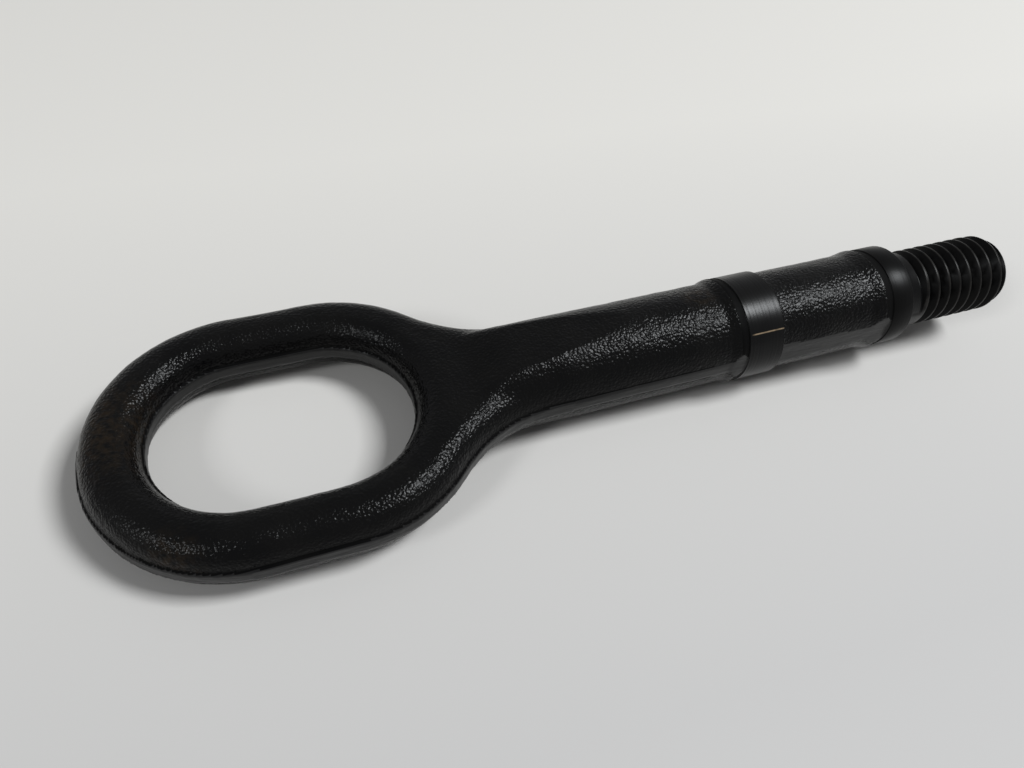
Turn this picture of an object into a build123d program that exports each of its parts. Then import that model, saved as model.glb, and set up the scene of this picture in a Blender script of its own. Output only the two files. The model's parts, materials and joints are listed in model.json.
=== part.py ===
from build123d import *
import os
from math import acos, asin, atan, atan2, ceil, cos, degrees, hypot, pi, radians, sin, sqrt, tan

# Eye: an oblong ring, drop forged, widest at the parting plane, with more metal in the web beside the neck
ring_outer_radius = 29.6
ring_arc_spacing = 16.1
ring_bar_width = 11.4
ring_height = 12.8
ring_draft = 9.0
ring_edge_radius = 5.0
ring_least_flat = 0.4
web_extra = 1.3

# Flash band: the strip at the parting plane that is left when the flash is trimmed off
flash_height = 2.8
flash_proud = 0.3

# Neck and shank: a round bar that rises out of the web, flattened above and below until it is full
neck_radius = 30.0
neck_extra = 0.1
neck_trim = 0.5
shank_diameter = 22.0
shank_in_web = 19.5
shank_inset = 0.2
flat_foot_back = 15.3
flat_foot_radius = 14.0
flat_knee_back = 8.0
flat_knee_rise = 0.554
flat_knee_radius = 20.0
flat_bend_share = 0.45
flat_length = 19.0

# Flange: forged, and the stop that the socket's mouth comes up against; its ramp starts inside the shank
flange_from_ring = 85.9
flange_ramp = 3.0
flange_foot_inset = 0.3
flange_diameter = 23.6
flange_crest_radius = 2.0
flange_length = 1.8
flange_front_diameter = 22.6

# Rear collar: turned to size, beside the flange
rear_collar_diameter = 23.2
rear_collar_length = 8.6
rear_collar_chamfer = 0.35

# Waist: left as forged between the collars, with a lip at its front end
waist_diameter = 21.8
waist_length = 23.2
waist_ramp = 3.4
waist_foot_radius = 4.0
lip_diameter = 23.1
lip_crest_radius = 2.0
lip_length = 2.0
lip_front_diameter = 22.2

# Front collar: turned to size, with the shoulder beside the thread
front_collar_diameter = 22.7
front_collar_length = 5.7
front_collar_chamfer = 0.5

# Thread: coarse and left-handed, running out before the shoulder, with a tapered lead at its end
thread_diameter = 18.0
thread_pitch = 3.0
thread_length = 30.6
thread_crest_width = 0.45
thread_root_width = 0.65
thread_flank_angle = 30.0
thread_start_gap = 5.1
runout_offset = 2.0
lead_length = 3.2
lead_diameter = 15.8
end_chamfer = 0.8
end_face_diameter = 13.2

# Places along the axis, from the centre of the ring's arc beside the neck
ring_end_x = -ring_arc_spacing - ring_outer_radius
neck_half_width = shank_diameter / 2 + neck_extra
neck_centre_y = neck_half_width + neck_radius
neck_end_x = sqrt((ring_outer_radius + neck_radius) ** 2 - neck_centre_y**2)
neck_angle = degrees(atan2(neck_centre_y, neck_end_x))
rear_collar_x = flange_from_ring + flange_length
waist_x = rear_collar_x + rear_collar_length
waist_ramp_x = waist_x + waist_length
lip_x = waist_ramp_x + waist_ramp
front_collar_x = lip_x + lip_length
shoulder_x = front_collar_x + front_collar_length
thread_end_x = shoulder_x + thread_length

# Sizes that follow from those above
hole_radius = ring_outer_radius - ring_bar_width
hole_arc_spacing = ring_arc_spacing - web_extra
ring_slope = tan(radians(ring_draft))
ring_top_width = ring_bar_width - ring_height * ring_slope
edge_turn = 90 - ring_draft
edge_radius = min(ring_edge_radius, (ring_top_width - ring_least_flat) / 2 / tan(radians(edge_turn / 2)))
edge_inset = (ring_height / 2 - edge_radius) * ring_slope + edge_radius / cos(radians(ring_draft))
shank_start_x = neck_end_x - shank_in_web
flat_foot_x = neck_end_x - flat_foot_back
flat_foot_z = ring_height / 2 - shank_inset
flat_knee_x = neck_end_x - flat_knee_back
flat_knee_z = (ring_height + (shank_diameter - ring_height) * flat_knee_rise) / 2
flat_end_x = neck_end_x + flat_length
flat_slope = (shank_diameter / 2 - flat_knee_z) / (flat_end_x - flat_knee_x)
flat_far_z = flat_knee_z + flat_slope * (flange_from_ring - flat_knee_x)
flat_bend = flat_bend_share * hypot(flat_knee_x - flat_foot_x, flat_knee_z - flat_foot_z)
flat_rise = atan2(flat_knee_z - flat_foot_z, flat_knee_x - flat_foot_x)
foot_radius = min(flat_foot_radius, flat_bend / tan(flat_rise / 2))
knee_radius = min(flat_knee_radius, flat_bend / tan((flat_rise - atan(flat_slope)) / 2))
flange_foot_diameter = shank_diameter - 2 * flange_foot_inset
groove_x = shoulder_x + thread_start_gap
crest_radius = thread_diameter / 2
flank_slope = tan(radians(thread_flank_angle))
thread_depth = (thread_pitch - thread_crest_width - thread_root_width) / 2 / flank_slope
mouth_rise = thread_crest_width / 4 / flank_slope
onward = Vector(thread_pitch, pi * thread_diameter, 0)
outward = Vector(0, 0, 1)
groove_turns = ceil((thread_end_x - groove_x) / thread_pitch + 0.5)


# Plan of the forging from the ring's end to the flange, swelled along its sides
def forging_plan(swell):
    with BuildSketch() as plan:
        with BuildLine():
            far_arc = CenterArc((-ring_arc_spacing, 0), ring_outer_radius + swell, 180, -90)
            near_arc = CenterArc((0, 0), ring_outer_radius + swell, 90, neck_angle - 90)
            Line(far_arc @ 1, near_arc @ 0)
            neck_arc = CenterArc(
                (neck_end_x, neck_centre_y), neck_radius - swell, 180 + neck_angle, 90 - neck_angle
            )
            Polyline(
                neck_arc @ 1,
                (flange_from_ring, shank_diameter / 2),
                (flange_from_ring, 0),
                far_arc @ 0,
            )
        make_face()
        mirror(about=Plane.XZ)
        with Locations((hole_arc_spacing / 2 - ring_arc_spacing, 0)):
            SlotCenterToCenter(hole_arc_spacing, 2 * (hole_radius - swell), mode=Mode.SUBTRACT)
    return plan.sketch


# Ring and neck: the plan to just before the neck's end, drafted both ways and rounded over along both faces
with BuildPart() as ring:
    add(forging_plan(0))
    extrude(amount=ring_height / 2, both=True, taper=ring_draft)
    split(bisect_by=Plane.YZ.offset(neck_end_x - neck_trim), keep=Keep.BOTTOM)
    end_face = ring.faces().sort_by(Axis.X)[-1]
    rims = ring.faces().filter_by(Axis.Z).edges() - end_face.edges()
    fillet(rims, edge_radius)

# Flash band: all round the forging, outside and in the hole, dying out at the flange
with BuildPart() as flash_band:
    add(forging_plan(flash_proud))
    extrude(amount=flash_height / 2, both=True)

# Shank: a round bar between an upper and a lower flat, each curving up out of the web
with BuildPart() as shank:
    with BuildSketch(Plane.YZ.offset(shank_start_x)):
        Circle(shank_diameter / 2)
    extrude(amount=flange_from_ring - shank_start_x)
    with BuildSketch(Plane.XZ):
        with BuildLine():
            upper_flat = FilletPolyline(
                (shank_start_x, flat_foot_z),
                (flat_foot_x, flat_foot_z),
                (flat_knee_x, flat_knee_z),
                (flange_from_ring, flat_far_z),
                radius=[foot_radius, knee_radius],
            )
            Polyline(upper_flat @ 0, (shank_start_x, 0), (flange_from_ring, 0), upper_flat @ 1)
        make_face()
        mirror(about=Plane.XZ)
    extrude(amount=shank_diameter, both=True, mode=Mode.INTERSECT)


# Thread groove: the space between two crests, swept along a path from the top of the bar
def thread_groove(start_x, path):
    root_half = thread_root_width / 2
    mouth_half = thread_pitch / 2 - thread_crest_width / 4
    with BuildPart() as groove:
        with BuildSketch(Plane((start_x, 0, crest_radius), x_dir=outward, z_dir=onward)):
            with BuildLine():
                Polyline(
                    (-thread_depth, -root_half),
                    (-thread_depth, root_half),
                    (mouth_rise, mouth_half),
                    (mouth_rise, -mouth_half),
                    close=True,
                )
            make_face()
        sweep(path=path, is_frenet=True)
    return groove.part


# One left-hand turn of the thread groove
def thread_turn(start_x):
    return thread_groove(
        start_x,
        Helix(thread_pitch, thread_pitch, crest_radius, (start_x, 0, 0), (1, 0, 0), lefthand=True),
    )


# Run-out: an arc, tangent to the first turn, that lifts the groove out of the bar
runout_radius = crest_radius + runout_offset
runout_root = runout_radius - thread_depth
runout_top = crest_radius + mouth_rise
runout_cosine = (runout_offset**2 + runout_root**2 - runout_top**2) / (2 * runout_offset * runout_root)
with BuildLine(Plane((groove_x, 0, crest_radius), x_dir=outward, z_dir=onward.cross(outward))) as runout:
    CenterArc((-runout_radius, 0), runout_radius, 0, degrees(acos(runout_cosine)))

# Turned end: place along the axis, radius and rounding of each corner of its profile
corners = [
    (flange_from_ring - flange_ramp, 0, 0),
    (flange_from_ring - flange_ramp, flange_foot_diameter / 2, 0),
    (flange_from_ring, flange_diameter / 2, flange_crest_radius),
    (rear_collar_x, flange_front_diameter / 2, 0),
    (rear_collar_x, rear_collar_diameter / 2, 0),
    (waist_x - rear_collar_chamfer, rear_collar_diameter / 2, 0),
    (waist_x, rear_collar_diameter / 2 - rear_collar_chamfer, 0),
    (waist_x, waist_diameter / 2, 0),
    (waist_ramp_x, waist_diameter / 2, waist_foot_radius),
    (lip_x, lip_diameter / 2, lip_crest_radius),
    (front_collar_x, lip_front_diameter / 2, 0),
    (front_collar_x, front_collar_diameter / 2, 0),
    (shoulder_x - front_collar_chamfer, front_collar_diameter / 2, 0),
    (shoulder_x, front_collar_diameter / 2 - front_collar_chamfer, 0),
    (shoulder_x, thread_diameter / 2, 0),
    (thread_end_x - lead_length, thread_diameter / 2, 0),
    (thread_end_x - end_chamfer, lead_diameter / 2, 0),
    (thread_end_x, end_face_diameter / 2, 0),
    (thread_end_x, 0, 0),
]
with BuildPart() as turned_end:
    with BuildSketch():
        with BuildLine():
            FilletPolyline(
                [(x, radius) for x, radius, rounding in corners],
                radius=[rounding for x, radius, rounding in corners],
                close=True,
            )
        make_face()
    revolve(axis=Axis.X)
    for turn in range(groove_turns):
        add(thread_turn(groove_x + turn * thread_pitch), mode=Mode.SUBTRACT)
    add(thread_groove(groove_x, runout.line), mode=Mode.SUBTRACT)

# Whole eye in one piece, level along its axis
with BuildPart() as level_eye:
    add(ring.part)
    add(shank.part)
    add(flash_band.part)
    add(turned_end.part)


# Rise of the axis when the eye lies on the ring's far end and on one point of the shank or turned end
def tilt_on(x, radius):
    reach = x - ring_end_x - edge_inset
    drop = radius - ring_height / 2 + edge_radius
    return atan2(drop, reach) - asin(edge_radius / hypot(reach, drop))


# At rest: the origin is on the surface that the eye lies on, under the middle of its length
tilt_on_corner = max(tilt_on(x, radius) for x, radius, rounding in corners)
tilt = max(tilt_on_corner, tilt_on(flat_end_x, shank_diameter / 2))
lift = edge_radius - (ring_end_x + edge_inset) * sin(tilt) + (ring_height / 2 - edge_radius) * cos(tilt)
low_end = (ring_end_x - flash_proud) * cos(tilt) - flash_height / 2 * sin(tilt)
high_end = max(x * cos(tilt) + radius * sin(tilt) for x, radius, rounding in corners)
with BuildPart() as tow_eye:
    with Locations((-(low_end + high_end) / 2, 0, lift)):
        add(level_eye.part, rotation=(0, -degrees(tilt), 0))

tow_eye.part.label = "tow_eye"
os.makedirs("parts", exist_ok=True)
export_step(tow_eye.part, "parts/tow_eye.step")
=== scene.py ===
import json
from math import radians

import bpy
from mathutils import Matrix, Vector


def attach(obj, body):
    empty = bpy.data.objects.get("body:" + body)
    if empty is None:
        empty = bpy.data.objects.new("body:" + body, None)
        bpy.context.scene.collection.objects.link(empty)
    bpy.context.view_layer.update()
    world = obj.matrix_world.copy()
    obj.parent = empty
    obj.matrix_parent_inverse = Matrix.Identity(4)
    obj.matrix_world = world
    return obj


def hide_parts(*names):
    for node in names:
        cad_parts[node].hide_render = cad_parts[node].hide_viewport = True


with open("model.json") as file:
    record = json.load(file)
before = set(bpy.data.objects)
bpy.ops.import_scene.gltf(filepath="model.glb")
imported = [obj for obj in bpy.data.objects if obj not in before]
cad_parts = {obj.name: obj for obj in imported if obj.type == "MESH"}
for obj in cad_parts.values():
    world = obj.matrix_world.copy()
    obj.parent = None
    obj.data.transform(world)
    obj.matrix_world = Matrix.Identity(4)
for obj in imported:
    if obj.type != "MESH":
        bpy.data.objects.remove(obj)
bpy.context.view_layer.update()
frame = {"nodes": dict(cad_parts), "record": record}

# Forged bar: the ring, neck, shank and flange, and the waist between the two collars, all of steel.
# It was drop-forged, so scale and die wear left it uneven with soft edges, and it is painted black.
# It lies on the ring's far end and on its shank, and is worked level along X from the rear collar.
millimetre = 0.001
mounts = {mount["name"]: mount for mount in frame["record"]["mounts"]}
collar_middle = Vector(mounts["rear_collar"]["pos_m"])
axis = Vector(mounts["rear_collar"]["axis"]).normalized()
lying = Matrix.Translation(collar_middle) @ axis.to_track_quat("X", "Z").to_matrix().to_4x4()
rear_collar_half = mounts["rear_collar"]["dims"]["length_mm"] * millimetre / 2
front_collar_half = mounts["front_collar"]["dims"]["length_mm"] * millimetre / 2
front_collar_middle = (Vector(mounts["front_collar"]["pos_m"]) - collar_middle).dot(axis)
rear_chamfer = 0.35 * millimetre
flange_face = -rear_collar_half
waist_start = rear_collar_half + rear_chamfer
lip_face = front_collar_middle - front_collar_half
merge_distance = 0.001 * millimetre


def only(piece):
    bpy.ops.object.select_all(action="DESELECT")
    piece.select_set(True)
    bpy.context.view_layer.objects.active = piece


def level_copy(name):
    piece = bpy.data.objects.new(name, frame["nodes"]["tow_eye"].data.copy())
    bpy.context.collection.objects.link(piece)
    piece.data.transform(lying.inverted())
    piece.data.materials.clear()
    only(piece)
    bpy.ops.object.mode_set(mode="EDIT")
    bpy.ops.mesh.select_all(action="SELECT")
    bpy.ops.mesh.remove_doubles(threshold=merge_distance)
    bpy.ops.mesh.customdata_custom_splitnormals_clear()
    bpy.ops.object.mode_set(mode="OBJECT")
    return piece


def reshape(piece, name, kind, **settings):
    modifier = piece.modifiers.new(name, kind)
    for setting, value in settings.items():
        setattr(modifier, setting, value)
    only(piece)
    bpy.ops.object.modifier_apply(modifier=modifier.name)


def cut_away(piece, place, behind):
    only(piece)
    bpy.ops.object.mode_set(mode="EDIT")
    bpy.ops.mesh.select_all(action="SELECT")
    bpy.ops.mesh.bisect(
        plane_co=(place, 0, 0), plane_no=(1, 0, 0), clear_inner=behind, clear_outer=not behind
    )
    bpy.ops.object.mode_set(mode="OBJECT")


# Trimmed strips: flats on both sides of flange and waist, where a press cut the flash off
trim_depth = 4.0 * millimetre
trim_height = 20.0 * millimetre
flange_strip_length = 8.0 * millimetre
strip_overrun = 3.0 * millimetre
flange_strip_aside = 11.15 * millimetre
waist_strip_aside = 10.66 * millimetre
waist_strip_slope = 0.0075
flange_strip_start = flange_face - flange_strip_length
trim_strips = [
    (flange_strip_start, flange_face + strip_overrun, flange_strip_aside, 0),
    (waist_start - strip_overrun, lip_face + strip_overrun, waist_strip_aside, waist_strip_slope),
]
skin = level_copy("forged_skin")
for strip_start, strip_end, strip_aside, strip_slope in trim_strips:
    for side in (-1, 1):
        bpy.ops.mesh.primitive_cube_add(
            size=1,
            location=((strip_start + strip_end) / 2, side * (strip_aside + trim_depth / 2), 0),
            rotation=(0, 0, side * strip_slope),
            scale=(strip_end - strip_start, trim_depth, trim_height),
        )
        trim_bar = bpy.context.object
        reshape(
            skin, "flash_trim", "BOOLEAN",
            operation="DIFFERENCE", solver="EXACT", object=trim_bar,
        )
        bpy.data.objects.remove(trim_bar)

# Skin: an even net of small faces with softened edges
skin_grid = 0.46 * millimetre
edge_softening_rounds = 3
skin.data.remesh_voxel_size = skin_grid
skin.data.remesh_voxel_adaptivity = 0
bpy.ops.object.voxel_remesh()
reshape(skin, "softened_edges", "SMOOTH", factor=0.5, iterations=edge_softening_rounds)

# Neck: the plate that carries the ring runs smoothly into the round shank
neck_middle = Vector((-60.0, 9.2, 5.8)) * millimetre
neck_reach = 10.0 * millimetre
neck_fullness = 1.5
neck_floor = 2.2 * millimetre
neck_floor_fade = 1.0 * millimetre
neck_blending_rounds = 60
neck = skin.vertex_groups.new(name="neck")
for vertex in skin.data.vertices:
    folded = Vector((vertex.co.x, abs(vertex.co.y), abs(vertex.co.z)))
    share = min(
        neck_fullness * (1 - (folded - neck_middle).length / neck_reach),
        (folded.z - neck_floor) / neck_floor_fade,
        1,
    )
    if share > 0:
        neck.add([vertex.index], share, "REPLACE")
reshape(
    skin, "blended_neck", "SMOOTH",
    vertex_group=neck.name, factor=0.5, iterations=neck_blending_rounds,
)

# Faces by finish: those on a strip or the flash are smooth; those on the ledge or in a corner get a
# dull paint that is painted shade
flash_half = 1.4 * millimetre
ledge_top = 1.7 * millimetre
corner_width = 1.9 * millimetre
strip_reach = 0.05 * millimetre


def on_strip(along, aside):
    for strip_start, strip_end, strip_aside, strip_slope in trim_strips:
        strip_lean = strip_slope * (along - (strip_start + strip_end) / 2)
        if strip_start < along < strip_end and aside > strip_aside + strip_lean - strip_reach:
            return True
    return False


trimmed_faces = []
shaded_corner_faces = []
for face in skin.data.polygons:
    along, aside, height = face.center.x, abs(face.center.y), abs(face.center.z)
    on_ledge = height < ledge_top and along < flange_strip_start
    in_corner = any(0 < step - along < corner_width for step in (flange_face, lip_face))
    if on_strip(along, aside) or height < flash_half:
        trimmed_faces.append(face.index)
    elif on_ledge or in_corner:
        shaded_corner_faces.append(face.index)

# Uneven steel: worn dies, and scale that was hammered in
unevenness = [
    ("die_wear", 7.0 * millimetre, 0.20 * millimetre),
    ("scale_lumps", 2.2 * millimetre, 0.05 * millimetre),
    ("scale_grain", 1.0 * millimetre, 0.045 * millimetre),
]
for name, lump_size, lump_height in unevenness:
    lumps = bpy.data.textures.new(name, "CLOUDS")
    lumps.noise_scale = lump_size
    lumps.noise_depth = 1
    reshape(
        skin, name, "DISPLACE",
        texture=lumps, texture_coords="LOCAL", strength=lump_height, mid_level=0.5,
    )
bpy.ops.object.shade_smooth()


def new_node(tree, kind, **settings):
    node = tree.nodes.new(kind)
    for setting, value in settings.items():
        setattr(node, setting, value)
    return node


def object_place(tree):
    return new_node(tree, "ShaderNodeTexCoord").outputs["Object"]


def new_noise(tree, place, scale, detail):
    noise = new_node(tree, "ShaderNodeTexNoise")
    noise.inputs["Scale"].default_value = scale
    noise.inputs["Detail"].default_value = detail
    tree.links.new(place, noise.inputs["Vector"])
    return noise.outputs["Fac"]


def new_range(tree, source, from_min, from_max, to_min=0, to_max=1):
    span = new_node(tree, "ShaderNodeMapRange")
    span.inputs["From Min"].default_value = from_min
    span.inputs["From Max"].default_value = from_max
    span.inputs["To Min"].default_value = to_min
    span.inputs["To Max"].default_value = to_max
    tree.links.new(source, span.inputs["Value"])
    return span.outputs["Result"]


def new_math(tree, operation, first, second):
    sum_node = new_node(tree, "ShaderNodeMath", operation=operation)
    tree.links.new(first, sum_node.inputs[0])
    tree.links.new(second, sum_node.inputs[1])
    return sum_node.outputs["Value"]


def new_vector_math(tree, operation, source, fixed=None):
    vector_node = new_node(tree, "ShaderNodeVectorMath", operation=operation)
    tree.links.new(source, vector_node.inputs[0])
    if fixed is not None:
        vector_node.inputs[1].default_value = fixed
    return vector_node


# Paint film: thin black enamel with a slightly cloudy gloss
film_dark = (0.0018, 0.0018, 0.0019, 1)
film_light = (0.0036, 0.0034, 0.0032, 1)
film = bpy.data.node_groups.new("paint_film", "ShaderNodeTree")
film.interface.new_socket("Colour", in_out="OUTPUT", socket_type="NodeSocketColor")
film.interface.new_socket("Roughness", in_out="OUTPUT", socket_type="NodeSocketFloat")
film.interface.new_socket("Dullness", in_out="INPUT", socket_type="NodeSocketFloat")
film_in = new_node(film, "NodeGroupInput")
film_out = new_node(film, "NodeGroupOutput")
cloud = new_noise(film, object_place(film), scale=90, detail=4)
shade = new_node(film, "ShaderNodeValToRGB")
shade.color_ramp.elements[0].position = 0.35
shade.color_ramp.elements[0].color = film_dark
shade.color_ramp.elements[1].position = 0.75
shade.color_ramp.elements[1].color = film_light
film.links.new(cloud, shade.inputs["Fac"])
film.links.new(shade.outputs["Color"], film_out.inputs["Colour"])
gloss_swing = new_range(film, cloud, from_min=0.3, from_max=0.7, to_min=-0.04, to_max=0.06)
gloss = new_math(film, "ADD", gloss_swing, film_in.outputs["Dullness"])
film.links.new(gloss, film_out.inputs["Roughness"])


def black_paint(name, dullness, shine):
    paint = bpy.data.materials.new(name)
    paint.use_nodes = True
    tree = paint.node_tree
    coat = new_node(tree, "ShaderNodeGroup", node_tree=film)
    coat.name = "film"
    coat.inputs["Dullness"].default_value = dullness
    shader = tree.nodes["Principled BSDF"]
    shader.inputs["Specular IOR Level"].default_value = shine
    tree.links.new(coat.outputs["Colour"], shader.inputs["Base Color"])
    tree.links.new(coat.outputs["Roughness"], shader.inputs["Roughness"])
    return paint


def raise_bumps(paint, height, depth):
    tree = paint.node_tree
    bumps = new_node(tree, "ShaderNodeBump")
    bumps.inputs["Strength"].default_value = 1.0
    bumps.inputs["Distance"].default_value = depth
    tree.links.new(height, bumps.inputs["Height"])
    tree.links.new(bumps.outputs["Normal"], tree.nodes["Principled BSDF"].inputs["Normal"])


# Places of a Mix node's colour sockets, which share their names with its other sockets
mix_amount, mix_under, mix_over, mix_result = 0, 6, 7, 2


def show_through(paint, amount, colour):
    tree = paint.node_tree
    mix = new_node(tree, "ShaderNodeMix", data_type="RGBA")
    tree.links.new(amount, mix.inputs[mix_amount])
    tree.links.new(tree.nodes["film"].outputs["Colour"], mix.inputs[mix_under])
    mix.inputs[mix_over].default_value = colour
    shader = tree.nodes["Principled BSDF"]
    tree.links.new(mix.outputs[mix_result], shader.inputs["Base Color"])


# Paint over forging scale: pebbly, with brown rust coming through in a few places
scale_depth = 0.115 * millimetre
rust_colour = (0.020, 0.013, 0.007, 1)
rust_places = [
    (Vector((-98.5, 4.5, 10.5)) * millimetre, 15.0 * millimetre),
    (Vector((-88.4, -24.8, 9.8)) * millimetre, 6.5 * millimetre),
    (Vector((-91.2, 4.8, 11.2)) * millimetre, 6.0 * millimetre),
    (Vector((21.9, 1.6, 21.3)) * millimetre, 5.0 * millimetre),
]
forged_paint = black_paint("forged_black_paint", dullness=0.23, shine=0.11)
tree = forged_paint.node_tree
place = object_place(tree)
pebbles = new_node(tree, "ShaderNodeTexVoronoi", feature="SMOOTH_F1")
pebbles.inputs["Scale"].default_value = 1800
pebbles.inputs["Smoothness"].default_value = 0.35
tree.links.new(place, pebbles.inputs["Vector"])
ripple = new_noise(tree, place, scale=1450, detail=2)
grain = new_math(tree, "SUBTRACT", ripple, pebbles.outputs["Distance"])
raise_bumps(forged_paint, grain, scale_depth)
rust_near = None
for rust_place, rust_reach in rust_places:
    away = new_vector_math(tree, "DISTANCE", place, rust_place).outputs["Value"]
    near = new_range(tree, away, from_min=0, from_max=rust_reach, to_min=1, to_max=0)
    rust_near = new_math(tree, "MAXIMUM", rust_near, near) if rust_near else near
blotches = new_noise(tree, place, scale=800, detail=5)
blotch_edge = new_range(tree, blotches, from_min=0.38, from_max=0.72)
rusted = new_math(tree, "MULTIPLY", rust_near, blotch_edge)
show_through(forged_paint, rusted, rust_colour)

# Paint on the trimmed strips: smoother, with faint marks drawn along the cut
streak_depth = 0.09 * millimetre
streak_stretch = (0.25, 0.25, 1.6)
trimmed_paint = black_paint("trimmed_black_paint", dullness=0.34, shine=0.32)
tree = trimmed_paint.node_tree
drawn = new_node(tree, "ShaderNodeMapping")
drawn.inputs["Scale"].default_value = streak_stretch
tree.links.new(object_place(tree), drawn.inputs["Vector"])
streaks = new_noise(tree, drawn.outputs["Vector"], scale=900, detail=3)
raise_bumps(trimmed_paint, streaks, streak_depth)

# Paint on the ledge and in the corners beside the collars: dull and barely glossy, a painted shade
# that keeps them dark
painted_shade_paint = black_paint("painted_shade_black_paint", dullness=0.6, shine=0.04)

# Painted skin, cut back to the two stretches that the lathe left alone
painted_faces = [(forged_paint, []), (trimmed_paint, trimmed_faces), (painted_shade_paint, shaded_corner_faces)]
for slot, (paint, faces) in enumerate(painted_faces):
    skin.data.materials.append(paint)
    for face in faces:
        skin.data.polygons[face].material_index = slot
waist = skin.copy()
waist.data = skin.data.copy()
waist.name = "waist"
bpy.context.collection.objects.link(waist)
joint_gap = 0.15 * millimetre
cut_away(skin, flange_face - joint_gap, behind=False)
cut_away(waist, waist_start + joint_gap, behind=True)
cut_away(waist, lip_face - joint_gap, behind=False)

# Turned end: the two steel collars and the thread that screws into the socket, painted black.
# They were cut to size in a lathe, whose tool left fine rings on them.
# Use has rubbed a line on the rear collar and the crests of the thread.
front_chamfer = 0.5 * millimetre
shoulder = front_collar_middle + front_collar_half + front_chamfer
turning = bpy.data.node_groups.new("turning_marks", "ShaderNodeTree")
turning.interface.new_socket("Height", in_out="OUTPUT", socket_type="NodeSocketFloat")
turning_out = new_node(turning, "NodeGroupOutput")
along_axis = new_vector_math(turning, "DOT_PRODUCT", object_place(turning), axis)
rings = new_node(turning, "ShaderNodeTexNoise", noise_dimensions="1D")
rings.inputs["Scale"].default_value = 1700
rings.inputs["Detail"].default_value = 3
turning.links.new(along_axis.outputs["Value"], rings.inputs["W"])
turning.links.new(rings.outputs["Fac"], turning_out.inputs["Height"])

# Distance from a line along the axis, and how far along it, to find what use has rubbed
rubbing = bpy.data.node_groups.new("distance_from_line", "ShaderNodeTree")
rubbing.interface.new_socket("Distance", in_out="OUTPUT", socket_type="NodeSocketFloat")
rubbing.interface.new_socket("Along", in_out="OUTPUT", socket_type="NodeSocketFloat")
rubbing.interface.new_socket("Through", in_out="INPUT", socket_type="NodeSocketVector")
rubbing_in = new_node(rubbing, "NodeGroupInput")
rubbing_out = new_node(rubbing, "NodeGroupOutput")
offset_node = new_vector_math(rubbing, "SUBTRACT", object_place(rubbing))
rubbing.links.new(rubbing_in.outputs["Through"], offset_node.inputs[1])
offset = offset_node.outputs["Vector"]
across = new_vector_math(rubbing, "CROSS_PRODUCT", offset, axis).outputs["Vector"]
line_distance = new_vector_math(rubbing, "LENGTH", across).outputs["Value"]
rubbing.links.new(line_distance, rubbing_out.inputs["Distance"])
onward = new_vector_math(rubbing, "DOT_PRODUCT", offset, axis).outputs["Value"]
rubbing.links.new(onward, rubbing_out.inputs["Along"])
worn_fade = 1.0 * millimetre


def turned(
    name, dullness, shine, ring_depth, line, worn_from, worn_to, worn_start, patch_size, worn_colour
):
    paint = black_paint(name, dullness, shine)
    tree = paint.node_tree
    marks = new_node(tree, "ShaderNodeGroup", node_tree=turning)
    raise_bumps(paint, marks.outputs["Height"], ring_depth)
    away = new_node(tree, "ShaderNodeGroup", node_tree=rubbing)
    away.inputs["Through"].default_value = line
    worn = new_range(tree, away.outputs["Distance"], from_min=worn_from, from_max=worn_to)
    patches = new_noise(tree, object_place(tree), scale=1 / patch_size, detail=3)
    patch_edge = new_range(tree, patches, from_min=0.3, from_max=0.55)
    worn_patches = new_math(tree, "MULTIPLY", worn, patch_edge)
    past_start = new_range(
        tree, away.outputs["Along"], from_min=worn_start, from_max=worn_start + worn_fade
    )
    worn_through = new_math(tree, "MULTIPLY", worn_patches, past_start)
    show_through(paint, worn_through, worn_colour)
    return paint


turned_paint = turned(
    "turned_black_paint", dullness=0.29, shine=0.15, ring_depth=0.05 * millimetre,
    line=collar_middle + Vector((0, -9.24, 7.02)) * millimetre,
    worn_from=0.20 * millimetre, worn_to=0.05 * millimetre, worn_start=-rear_collar_half,
    patch_size=2.0 * millimetre, worn_colour=(0.27, 0.20, 0.13, 1),
)
thread_paint = turned(
    "thread_black_paint", dullness=0.32, shine=0.08, ring_depth=0.015 * millimetre,
    line=collar_middle,
    worn_from=8.82 * millimetre, worn_to=8.98 * millimetre, worn_start=shoulder + 4.0 * millimetre,
    patch_size=2.5 * millimetre, worn_colour=(0.013, 0.012, 0.011, 1),
)
turned_edge = radians(30)
edge_break = 0.07 * millimetre
clear_of_face = merge_distance * 20
rear = level_copy("rear_collar")
cut_away(rear, flange_face + clear_of_face, behind=True)
cut_away(rear, waist_start - clear_of_face, behind=False)
rear.data.materials.append(turned_paint)
bpy.ops.object.shade_smooth_by_angle(angle=turned_edge)
front = level_copy("front_collar")
cut_away(front, lip_face + clear_of_face, behind=True)
front.data.materials.append(thread_paint)
reshape(
    front, "broken_edges", "BEVEL",
    limit_method="ANGLE", angle_limit=turned_edge, width=edge_break, segments=2,
)
bpy.ops.object.shade_smooth_by_angle(angle=turned_edge)

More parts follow.
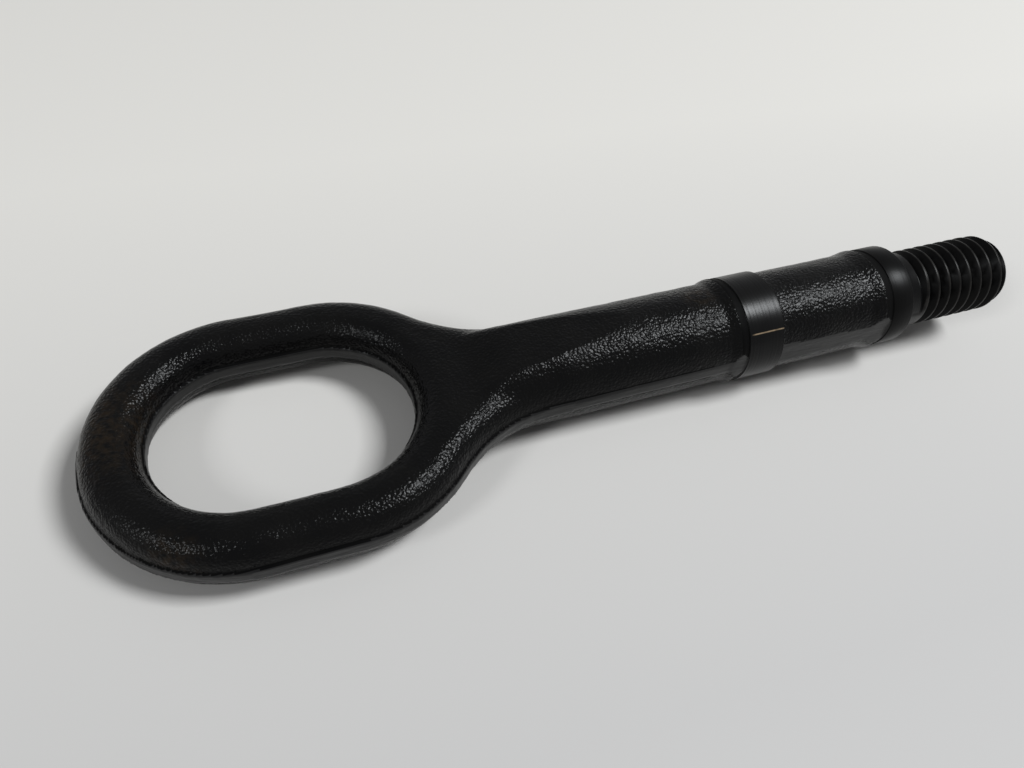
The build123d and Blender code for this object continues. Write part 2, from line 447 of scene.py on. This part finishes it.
# Whole eye: the forged bar and its turned end are one piece of steel, so they are one mesh.
# Their open edges are bridged, and the eye is then laid down as it rests.
only(skin)
for piece in (rear, waist, front):
    piece.select_set(True)
bpy.ops.object.join()
eye = skin
eye.name = "tow_eye_dressed"
bpy.context.tool_settings.mesh_select_mode = (False, True, False)
joint_reach = 0.4 * millimetre
for joint in (flange_face, waist_start, lip_face):
    bpy.ops.object.mode_set(mode="EDIT")
    bpy.ops.mesh.select_all(action="DESELECT")
    bpy.ops.mesh.select_non_manifold(
        extend=False,
        use_wire=False,
        use_boundary=True,
        use_multi_face=False,
        use_non_contiguous=False,
        use_verts=False,
    )
    bpy.ops.object.mode_set(mode="OBJECT")
    for edge in eye.data.edges:
        if edge.select:
            ends = [eye.data.vertices[corner].co.x for corner in edge.vertices]
            edge.select = all(abs(end - joint) < joint_reach for end in ends)
    bpy.ops.object.mode_set(mode="EDIT")
    bpy.ops.mesh.bridge_edge_loops()
    bpy.ops.object.mode_set(mode="OBJECT")
eye.data.transform(lying)
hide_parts("tow_eye")
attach(eye, "root")

# Floor: a plain pale surface that the eye lies on and throws its shadow on.
# Its colour is a little greyer on the camera's side of the eye than beyond it: this is painted
# shade.
floor_size = 6.0
floor_near, floor_far = -0.07, 0.1
shaded_floor_colour = (0.55, 0.536, 0.525, 1)
lit_floor_colour = (0.737, 0.713, 0.673, 1)
bpy.ops.mesh.primitive_plane_add(size=floor_size, location=(0, 0, 0))
floor = bpy.context.object
floor.name = "floor"
floor_paint = bpy.data.materials.new("pale_floor")
floor_paint.use_nodes = True
tree = floor_paint.node_tree
floor_shader = tree.nodes["Principled BSDF"]
floor_shader.inputs["Roughness"].default_value = 0.7
floor_across = new_node(tree, "ShaderNodeSeparateXYZ")
tree.links.new(object_place(tree), floor_across.inputs["Vector"])
# Painted shade: the floor's colour grows greyer toward the camera's side
floor_painted_shade = new_range(tree, floor_across.outputs["Y"], from_min=floor_near, from_max=floor_far)
floor_shade = new_node(tree, "ShaderNodeValToRGB")
floor_shade.color_ramp.elements[0].color = shaded_floor_colour
floor_shade.color_ramp.elements[1].color = lit_floor_colour
tree.links.new(floor_painted_shade, floor_shade.inputs["Fac"])
tree.links.new(floor_shade.outputs["Color"], floor_shader.inputs["Base Color"])
floor.data.materials.append(floor_paint)

# Light: two soft panels, one high on the right and one lower on the left, in a dim room.
# The camera and the gloss of the paint see a paler room than the one that lights the eye.
aim = Vector((0, 0, 0.01))
panel_distance = 2.2
panel_colour = (0.95, 0.98, 1.0)
panels = [
    ("right_panel", Vector((0.53, -0.17, 0.81)), 0.65, 46.0),
    ("left_panel", Vector((-0.71, -0.29, 0.58)), 0.46, 12.5),
]
for name, toward, panel_side, power in panels:
    bpy.ops.object.light_add(type="AREA", location=aim + toward.normalized() * panel_distance)
    panel = bpy.context.object
    panel.name = name
    panel.data.shape = "SQUARE"
    panel.data.size = panel_side
    panel.data.energy = power
    panel.data.color = panel_colour
    panel.rotation_euler = toward.to_track_quat("Z", "Y").to_euler()
world = bpy.data.worlds.new("room")
bpy.context.scene.world = world
world.use_nodes = True
room = world.node_tree
dim_room = room.nodes["Background"]
dim_room.inputs["Color"].default_value = (0.95, 0.97, 1.0, 1)
dim_room.inputs["Strength"].default_value = 0.15
pale_backdrop = new_node(room, "ShaderNodeBackground")
pale_backdrop.inputs["Color"].default_value = (0.97, 0.98, 1.0, 1)
pale_backdrop.inputs["Strength"].default_value = 0.45
ray = new_node(room, "ShaderNodeLightPath")
seen = new_math(room, "MAXIMUM", ray.outputs["Is Camera Ray"], ray.outputs["Is Glossy Ray"])
shown = new_math(room, "MAXIMUM", seen, ray.outputs["Is Transmission Ray"])
surround = new_node(room, "ShaderNodeMixShader")
room.links.new(shown, surround.inputs[0])
room.links.new(dim_room.outputs["Background"], surround.inputs[1])
room.links.new(pale_backdrop.outputs["Background"], surround.inputs[2])
room.links.new(surround.outputs["Shader"], room.nodes["World Output"].inputs["Surface"])

# Camera: held above the near side of the ring, looking down along the bar.
# Its lens, place and turn were fitted to the outlines in the photograph.
camera_data = bpy.data.cameras.new("camera")
camera_data.sensor_width = 36.0
camera_data.lens = 28.5525
camera_data.clip_start = 0.01
camera = bpy.data.objects.new("camera", camera_data)
bpy.context.collection.objects.link(camera)
camera.location = (-0.0693127, -0.1032809, 0.1343818)
camera.rotation_euler = (radians(41.83213), radians(-5.60454), radians(-19.51862))
bpy.context.scene.camera = camera
bpy.context.scene.view_settings.view_transform = "Standard"
